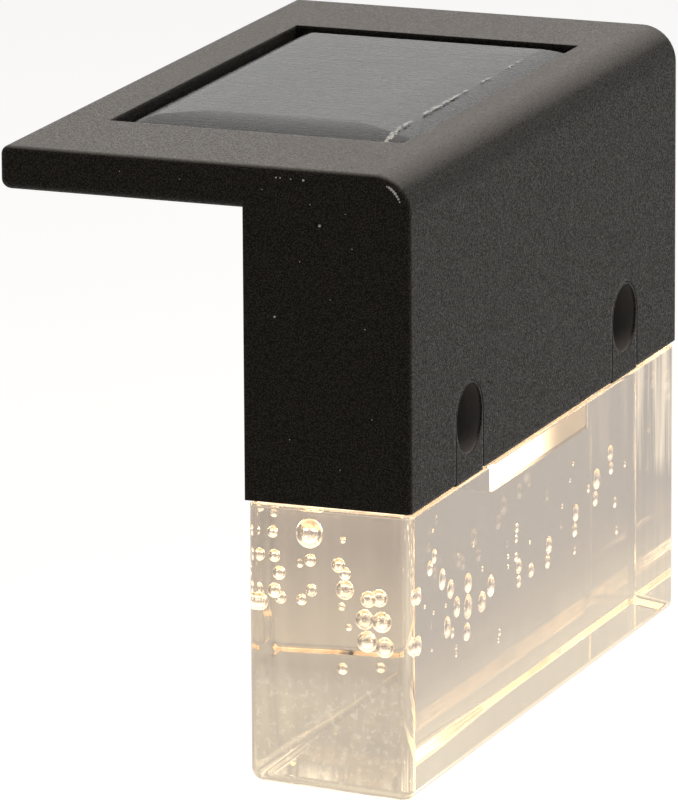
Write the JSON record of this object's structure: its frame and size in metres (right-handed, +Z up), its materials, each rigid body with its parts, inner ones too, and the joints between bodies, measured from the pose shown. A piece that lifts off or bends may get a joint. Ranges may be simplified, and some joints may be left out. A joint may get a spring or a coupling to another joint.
{
  "type": "solar fence light",
  "caption": "Solar light that hangs over a fence rail: black L-shaped moulded hood with a solar panel on top, and a clear cast block full of bubbles below.",
  "frame": {"origin": "midway between the two fence screw holes, on the back face that lies against the fence", "axes": "+X along the fence, +Y into the fence, +Z up; the ledge reaches out along +Y over the rail"},
  "size_m": [0.126, 0.0694, 0.1018],
  "materials": {
    "black_moulding": "fine spark-eroded texture, matt black",
    "steel": "stainless steel, cut thread",
    "foam": "closed-cell foam tape",
    "board": "glass-fibre board with solder mask",
    "silicon": "dark blue-black silicon",
    "resin": "poured clear resin, slightly scratched",
    "red_wire": "soft wire insulation",
    "seal": "soft sealing strip",
    "sleeve": "plain shrink sleeve",
    "nickel": "nickel-plated strip",
    "chip": "moulded package",
    "ferrite": "ferrite drum",
    "ceramic": "ceramic chip parts",
    "white_board": "white solder mask",
    "led": "phosphor-filled package",
    "pins": "tinned brass",
    "acrylic": "cast clear acrylic with bubbles",
    "bond": "clear glue",
    "opal": "opal diffuser"
  },
  "bodies": {
    "housing": {"hood": "black_moulding", "ledge_cover": "black_moulding", "ledge_cover_screws": "steel", "panel_tape": "foam", "panel_board": "board", "panel_cells": "silicon", "panel_resin": "resin", "panel_wires": "red_wire", "chassis": "black_moulding", "screw_tubes": "black_moulding", "back_cover": "black_moulding", "back_cover_seal": "seal", "back_cover_screws": "steel", "battery_door": "black_moulding", "battery_door_seal": "seal", "battery_door_screws": "steel", "battery_cell": "steel", "battery_sleeve": "sleeve", "positive_contact": "nickel", "negative_contact": "nickel", "contact_wires": "red_wire", "circuit_board": "board", "circuit_board_screws": "steel", "driver_chip": "chip", "inductor": "ferrite", "small_components": "ceramic", "led_board": "white_board", "leds": "led", "led_wires": "red_wire", "switch_can": "nickel", "switch_base": "board", "switch_pins": "pins", "switch_screws": "steel", "switch_wires": "red_wire", "acrylic_block": "acrylic", "block_bond": "bond", "light_diffuser": "opal"},
    "switch_knob": {"switch_knob": "black_moulding"}
  },
  "joints": [
    {"name": "switch_slide", "type": "slide", "parent": "housing", "child": "switch_knob", "axis": [0, 0, -1], "range_m": [0, 0.002]}
  ]
}
